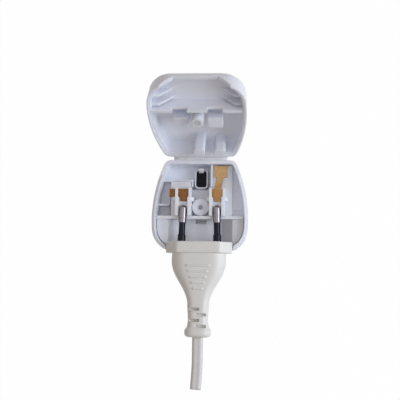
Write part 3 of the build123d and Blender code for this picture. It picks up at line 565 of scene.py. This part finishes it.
@dataclass(frozen=True)
class PlugMoulding:
    """Ivory moulding of the small plug: eight-sided flange and grip, slotted bend relief and collar.

    Each section is eight-sided about the plug's axis. In a direction u its edge lies where the p-norm of
    u over the distances of the faces is one, so its corners are round, and rounder for a smaller p.
    """

    axis_z_mm: float = RIM_Z_MM
    front_y_mm: float = -22.315
    flange_mm: float = 5.8
    flange_half_mm: tuple[float, float] = (17.2, 6.85)
    flange_power: float = 34.0
    flange_edge_mm: float = 0.5
    flange_side: float = 0.234
    body_side: float = 0.5
    top_share: float = 0.645
    corner_steps: int = 6
    around: int = 224
    # Shares of the edge loop that the loops of the flat front face and of the rear end have
    front_shares: tuple[float, float, float] = (0.0, 0.5, 0.9)
    end_shares: tuple[float, float, float] = (0.93, 0.6, 0.0)
    end_crown_mm: float = 0.05
    # Half size of a section that has shrunk to a point
    point_mm: float = 1e-6
    # Distance behind the flange, half width, half height and p of the grip, neck and collar
    form_mm: tuple[tuple[float, float, float, float], ...] = (
        (0.6, 14.0, 6.2, 13.0), (5.8, 14.0, 6.2, 13.0), (6.9, 13.82, 6.18, 13.0), (8.2, 13.5, 6.13, 12.0),
        (10.7, 12.53, 5.98, 12.0), (13.9, 10.83, 5.71, 11.0), (17.0, 8.99, 5.41, 10.0),
        (20.1, 7.32, 5.13, 10.0), (23.2, 6.13, 4.92, 10.0), (25.0, 5.75, 4.84, 10.0),
        (27.5, 5.65, 4.8, 10.0), (37.3, 5.65, 4.8, 10.0), (37.9, 5.85, 4.9, 9.0), (38.6, 6.5, 5.25, 8.0),
        (39.5, 6.95, 5.65, 8.0), (40.6, 7.02, 5.7, 8.0), (41.8, 6.85, 5.55, 8.0), (42.5, 6.3, 5.05, 8.0),
        (42.95, 5.4, 4.2, 8.0),
    )
    row_mm: float = 0.13
    bar_first_mm: float = 6.5
    bar_pitch_mm: float = 2.95
    bar_half_mm: float = 6.1
    bar_narrowing_mm: float = 0.875
    bar_count: int = 5
    bar_thickness_mm: float = 1.1
    bar_relief_mm: float = 0.47
    bar_face: tuple[float, float] = (0.7, 0.85)
    slot_first_mm: float = 28.7
    slot_pitch_mm: float = 2.9
    slot_count: int = 4
    slot_half_mm: float = 2.7
    slot_width_mm: float = 1.3
    slot_shift_mm: float = 1.75
    core_mm: float = 1.8
    edge_mm: float = 0.12

    def flange_rows(self) -> np.ndarray:
        """Front face, rounded front edge, side, rounded rear edge and rear face of the flange.

        Returns:
            One row per loop: distance behind the flange, half width, half height, p and side share.
        """
        wide, high = self.flange_half_mm
        turn = np.linspace(0, math.pi / 2, self.corner_steps)
        inset = self.flange_edge_mm * (1 - np.sin(turn))
        front = self.flange_edge_mm * (1 - np.cos(turn)) - self.flange_mm
        inset = np.concatenate([inset, inset[::-1]])
        along = np.concatenate([front, -self.flange_mm - front[::-1]])
        edge = np.stack([along, wide - inset, high - inset, np.full(len(along), self.flange_power)], axis=1)
        share = np.array(self.front_shares)[:, None]
        face = np.concatenate([np.full(share.shape, -self.flange_mm), edge[:1, 1:3] * share,
                               np.full(share.shape, self.flange_power)], axis=1)
        rows = np.concatenate([face, edge])
        return np.concatenate([rows, np.full((len(rows), 1), self.flange_side)], axis=1)

    def body_rows(self) -> np.ndarray:
        """Fillet behind the flange, grip, neck, collar and rounded end.

        Returns:
            Rows like those of the flange.
        """
        knots = np.array(self.form_mm)
        first, last = knots[0, 0], knots[-1, 0]
        along = np.linspace(first, last, int((last - first) / self.row_mm))
        form = np.concatenate([along[:, None], through(knots, along)], axis=1)
        turn = np.linspace(0, math.pi / 2, self.corner_steps)[:-1]
        swell = first * (1 - np.sin(turn))[:, None]
        root = np.concatenate([first * (1 - np.cos(turn))[:, None], form[:1, 1:3] + swell,
                               np.full((len(turn), 1), form[0, 3])], axis=1)
        share = np.array(self.end_shares)[:, None]
        end = np.concatenate([np.full(share.shape, last + self.end_crown_mm), form[-1:, 1:3] * share,
                              np.full(share.shape, form[-1, 3])], axis=1)
        rows = np.concatenate([root, form, end])
        return np.concatenate([rows, np.full((len(rows), 1), self.body_side)], axis=1)

    def outline(self, rows: np.ndarray) -> tuple[np.ndarray, np.ndarray]:
        """Edge of each row's rounded eight-sided section.

        Args:
            rows: Rows of the flange and body.

        Returns:
            Places across and up, in millimetres, one line of points per row.
        """
        turn = np.linspace(0, 2 * math.pi, self.around, endpoint=False)
        _, wide, high, power, side = (column[:, None] for column in rows.T)
        wide, high = np.maximum(wide, self.point_mm), np.maximum(high, self.point_mm)
        x, z = wide * np.cos(turn), high * np.sin(turn)
        lean_x, lean_z = high * (1 - side), wide * (1 - self.top_share)
        reach = lean_x * wide + lean_z * high * side
        slant = (np.abs(x) * lean_x + np.abs(z) * lean_z) / reach
        total = (np.abs(x) / wide) ** power + (np.abs(z) / high) ** power + slant ** power
        scale = total ** (-1 / power)
        return x * scale, z * scale

    def with_bars(self, along: np.ndarray, x: np.ndarray, z: np.ndarray, high: np.ndarray) -> np.ndarray:
        """Raise the grip bars on both broad faces.

        Args:
            along: Distance behind the flange of each row.
            x: Places across.
            z: Places up.
            high: Half height of each row.

        Returns:
            The raised places up.
        """
        number = np.arange(self.bar_count)[:, None, None]
        near = np.abs(along - self.bar_first_mm - number * self.bar_pitch_mm) - self.bar_thickness_mm / 2
        past = np.abs(x) - self.bar_half_mm + number * self.bar_narrowing_mm
        bars = rise(self.edge_mm, -self.edge_mm, np.maximum(near, past)).max(axis=0)
        on_face = rise(*self.bar_face, np.abs(z) / high)
        return z + np.sign(z) * self.bar_relief_mm * bars * on_face

    def with_slots(self, along: np.ndarray, x: np.ndarray, z: np.ndarray) -> np.ndarray:
        """Sink the bend relief's slots, left and right by turns, down to the cord's core.

        Args:
            along: Distance behind the flange of each row.
            x: Places across.
            z: Places up.

        Returns:
            The sunk places up.
        """
        number = np.arange(self.slot_count)[:, None, None]
        hand = np.where(number % 2 == 0, -1.0, 1.0)
        radius = self.slot_width_mm / 2
        past = np.maximum(np.abs(x - hand * self.slot_shift_mm) - self.slot_half_mm + radius, 0.0)
        reach = np.hypot(past, along - self.slot_first_mm - number * self.slot_pitch_mm)
        slots = rise(radius + self.edge_mm, radius - self.edge_mm, reach).max(axis=0)
        return z - np.sign(z) * slots * np.maximum(np.abs(z) - self.core_mm, 0.0)

    def build(self) -> bpy.types.Object:
        """Stack the sections along the plug, then raise the bars and sink the slots.

        Returns:
            The finished moulding, riding on the tray in place of the solid.
        """
        rows = np.concatenate([self.flange_rows(), self.body_rows()])
        x, z = self.outline(rows)
        along = rows[:, :1]
        z = self.with_bars(along, x, z, np.maximum(rows[:, 2:3], self.point_mm))
        z = self.with_slots(along, x, z)
        y = np.broadcast_to(self.front_y_mm - self.flange_mm - along, x.shape)
        points = np.stack([x, y, z + self.axis_z_mm], axis=-1).reshape(-1, 3) * MM
        piece = new_piece("plug_moulding", points, tube_faces(len(rows), self.around))
        dress(piece, PLUG_PVC)
        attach(piece, Body.BASE.value)
        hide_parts("plug_body")
        return piece


@dataclass(frozen=True)
class Housing:
    """Tray, inner carrier and lid: the white mouldings."""

    tray_edge_mm: float = 0.09
    inner_edge_mm: float = 0.1
    lid_edge_mm: float = 0.07
    screw_edge_mm: float = 0.08

    def build(self) -> list[bpy.types.Object]:
        """Build the mouldings and the closing screw.

        Returns:
            The finished pieces.
        """
        solids = [
            SolidPiece("base_shell", "tray_moulding", Body.BASE, HOUSING_ABS, self.tray_edge_mm),
            SolidPiece("contact_carrier", "carrier_moulding", Body.BASE, HOUSING_ABS, self.inner_edge_mm),
            SolidPiece("lid_shell", "lid_moulding", Body.LID, HOUSING_ABS, self.lid_edge_mm),
            SolidPiece("fuse_cover", "fuse_cover_moulding", Body.BASE, HOUSING_ABS, self.inner_edge_mm),
            SolidPiece("closing_screw", "captive_screw", Body.LID, SCREW_ZINC, self.screw_edge_mm),
        ]
        return [solid.build() for solid in solids] + [FilmHinge().build()]


@dataclass(frozen=True)
class PinSet:
    """Flat pins, their sleeves, the earth pin and the fuse behind them."""

    pin_edge_mm: float = 0.25
    sleeve_edge_mm: float = 0.12
    head_edge_mm: float = 0.07
    tube_edge_mm: float = 0.1
    cup_edge_mm: float = 0.12
    clip_edge_mm: float = 0.08

    def build(self) -> list[bpy.types.Object]:
        """Build the pins and the fuse.

        Returns:
            The finished pieces.
        """
        base = Body.BASE
        solids = [
            SolidPiece("live_pin", "live_pin_bar", base, PIN_BRASS, self.pin_edge_mm),
            SolidPiece("neutral_pin", "neutral_pin_bar", base, PIN_BRASS, self.pin_edge_mm),
            SolidPiece("live_pin_sleeve", "live_sleeve", base, BLACK_NYLON, self.sleeve_edge_mm),
            SolidPiece("neutral_pin_sleeve", "neutral_sleeve", base, BLACK_NYLON, self.sleeve_edge_mm),
            SolidPiece("earth_pin", "earth_pin_bar", base, BLACK_NYLON, self.head_edge_mm),
            SolidPiece("fuse_tube", "fuse_body", base, FUSE_CERAMIC, self.tube_edge_mm),
            SolidPiece("fuse_cap_front", "fuse_front_cup", base, PIN_NICKEL, self.cup_edge_mm),
            SolidPiece("fuse_cap_rear", "fuse_rear_cup", base, PIN_NICKEL, self.cup_edge_mm),
            SolidPiece("fuse_clip", "fuse_angle", base, CONTACT_BRASS, self.clip_edge_mm),
        ]
        return [solid.build() for solid in solids]


@dataclass(frozen=True)
class ContactSet:
    """Brass contacts and the white forks round them."""

    strip_edge_mm: float = 0.08
    fork_edge_mm: float = 0.11

    def build(self) -> list[bpy.types.Object]:
        """Build the contacts and forks.

        Returns:
            The finished pieces.
        """
        base = Body.BASE
        solids = [
            SolidPiece("left_contact_holder", "left_fork", base, HOLDER_NYLON, self.fork_edge_mm),
            SolidPiece("right_contact_holder", "right_fork", base, HOLDER_NYLON, self.fork_edge_mm),
            SolidPiece("live_contact", "live_stamping", base, CONTACT_BRASS, self.strip_edge_mm),
            # The neutral contact takes the brass coloured darker as painted shade
            SolidPiece("neutral_contact", "neutral_stamping", base, SHADE_PAINTED_BRASS, self.strip_edge_mm),
        ]
        return [solid.build() for solid in solids]


@dataclass(frozen=True)
class SmallPlug:
    """Ivory two-pin plug that lies in the tray, and its cord."""

    pin_edge_mm: float = 0.08
    sleeve_edge_mm: float = 0.1

    def build(self) -> list[bpy.types.Object]:
        """Build the plug's body, pins, sleeves and cord.

        Returns:
            The finished pieces.
        """
        base = Body.BASE
        solids = [
            SolidPiece("plug_pin_left", "left_round_pin", base, PIN_NICKEL, self.pin_edge_mm),
            SolidPiece("plug_pin_right", "right_round_pin", base, PIN_NICKEL, self.pin_edge_mm),
            # The sleeves take the black whose blue tint is a painted reflection
            SolidPiece("plug_pin_sleeve_left", "left_pin_sleeve", base, SLEEVE_NYLON,
                       self.sleeve_edge_mm),
            SolidPiece("plug_pin_sleeve_right", "right_pin_sleeve", base, SLEEVE_NYLON,
                       self.sleeve_edge_mm),
        ]
        return [PlugMoulding().build(), CordStub().build()] + [solid.build() for solid in solids]


@dataclass(frozen=True)
class Lamp:
    """One soft square lamp that faces the object."""

    name: str
    place_m: tuple[float, float, float]
    size_m: float
    watts: float
    colour: str

    def build(self, aim: Vector) -> None:
        """Place the lamp and turn it to the object.

        Args:
            aim: Point that the lamp faces.
        """
        data = bpy.data.lights.new(self.name, "AREA")
        data.size = self.size_m
        data.energy = self.watts
        data.color = linear(self.colour)[:3]
        lamp = bpy.data.objects.new(self.name, data)
        lamp.location = self.place_m
        lamp.rotation_euler = (aim - lamp.location).to_track_quat("-Z", "Y").to_euler()
        bpy.context.scene.collection.objects.link(lamp)


@dataclass(frozen=True)
class Studio:
    """Pale floor, soft lamps, plain world and the camera of the photograph."""

    image_px: int = 400
    px_per_mm: float = 1.93
    distance_mm: float = 550.0
    aim_mm: tuple[float, float, float] = (0.0, -0.55, RIM_Z_MM)
    camera_right_mm: float = 54.0
    elevation_deg: float = 84.0
    roll_deg: float = 1.0
    sensor_mm: float = 36.0
    floor_z_mm: float = -22.7
    floor_reach_m: float = 6.0
    world_light: float = 0.28
    world_colour: str = "#FFEFE0"
    white: str = "#FFFFFF"
    paper: str = "#F2F2F2"
    paper_white: float = 0.985
    lamps: tuple[Lamp, ...] = (
        Lamp("key_right", (0.6, -0.02, 0.36), 0.45, 3.2, "#EAF3FF"),
        Lamp("soft_above", (0.05, 0.08, 0.8), 0.8, 1.1, "#F6F9FF"),
    )

    def backdrop(self, tree: bpy.types.NodeTree) -> bpy.types.NodeSocket:
        """Share of rays that see the white ground: those of the camera, of gloss and of glass.

        Args:
            tree: Node tree that asks.

        Returns:
            Socket that is 1 for such rays and 0 for the rest.
        """
        rays = add_node(tree, "ShaderNodeLightPath").outputs
        seen = add_node(tree, "ShaderNodeMath", {}, {0: rays["Is Camera Ray"], 1: rays["Is Glossy Ray"]},
                        operation="MAXIMUM")
        return add_node(tree, "ShaderNodeMath", {}, {0: seen.outputs[0], 1: rays["Is Transmission Ray"]},
                        operation="MAXIMUM").outputs[0]

    def world(self) -> None:
        """Plain soft light from all round, on a ground that looks white."""
        world = bpy.data.worlds.new("soft_room")
        world.use_nodes = True
        tree = world.node_tree
        tree.nodes.clear()
        light = add_node(tree, "ShaderNodeBackground",
                         {"Color": linear(self.world_colour), "Strength": self.world_light})
        white = add_node(tree, "ShaderNodeBackground", {"Color": linear(self.white), "Strength": 1.0})
        mixed = add_node(tree, "ShaderNodeMixShader", {},
                         {0: self.backdrop(tree), 1: light.outputs[0], 2: white.outputs[0]})
        add_node(tree, "ShaderNodeOutputWorld", {}, {"Surface": mixed.outputs[0]})
        bpy.context.scene.world = world

    def floor(self) -> None:
        """White floor under the pins that keeps a faint shadow."""
        reach = self.floor_reach_m
        z = self.floor_z_mm * MM
        corners = np.array([[-reach, -reach, z], [reach, -reach, z], [reach, reach, z], [-reach, reach, z]])
        floor = new_piece("studio_floor", corners, np.array([[0, 1, 2, 3]]))
        material = bpy.data.materials.new("matt_white_paper")
        material.use_nodes = True
        tree = material.node_tree
        tree.nodes.clear()
        paper = add_node(tree, "ShaderNodeBsdfDiffuse", {"Color": linear(self.paper)})
        white = add_node(tree, "ShaderNodeEmission", {"Color": linear(self.white), "Strength": 1.0})
        seen = add_node(tree, "ShaderNodeMath", {1: self.paper_white}, {0: self.backdrop(tree)},
                        operation="MULTIPLY")
        mixed = add_node(tree, "ShaderNodeMixShader", {},
                         {0: seen.outputs[0], 1: paper.outputs[0], 2: white.outputs[0]})
        add_node(tree, "ShaderNodeOutputMaterial", {}, {"Surface": mixed.outputs[0]})
        floor.data.materials.append(material)

    def camera(self) -> None:
        """Camera almost straight above the tray, a little towards the cord and the right."""
        aim = Vector(self.aim_mm) * MM
        low = math.radians(self.elevation_deg)
        away = Vector((self.camera_right_mm / self.distance_mm, -math.cos(low), math.sin(low))).normalized()
        right = Vector((0, 1, 0)).cross(away).normalized()
        up = away.cross(right)
        data = bpy.data.cameras.new("photo_camera")
        data.sensor_width = self.sensor_mm
        data.lens = self.px_per_mm * self.distance_mm / self.image_px * self.sensor_mm
        data.clip_start = MM
        camera = bpy.data.objects.new("photo_camera", data)
        turn = Matrix((right, up, away)).transposed().to_4x4() @ Matrix.Rotation(
            math.radians(self.roll_deg), 4, "Z")
        camera.matrix_world = Matrix.Translation(aim + away * self.distance_mm * MM) @ turn
        bpy.context.scene.collection.objects.link(camera)
        bpy.context.scene.camera = camera

    def build(self) -> None:
        """Set the view's colours, and build floor, world, lamps and camera."""
        bpy.context.scene.view_settings.view_transform = "Standard"
        self.world()
        self.floor()
        self.camera()
        for lamp in self.lamps:
            lamp.build(Vector(self.aim_mm) * MM)


def main() -> None:
    """Build the studio and every sub-assembly, and report each piece."""
    logging.basicConfig(level=logging.INFO, format="%(message)s")
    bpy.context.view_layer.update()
    Studio().build()
    for assembly in (SmallPlug(), Housing(), PinSet(), ContactSet()):
        for piece in assembly.build():
            LOG.info("%s: %s with %d faces", type(assembly).__name__, piece.name, len(piece.data.polygons))


if __name__ == "__main__":
    main()
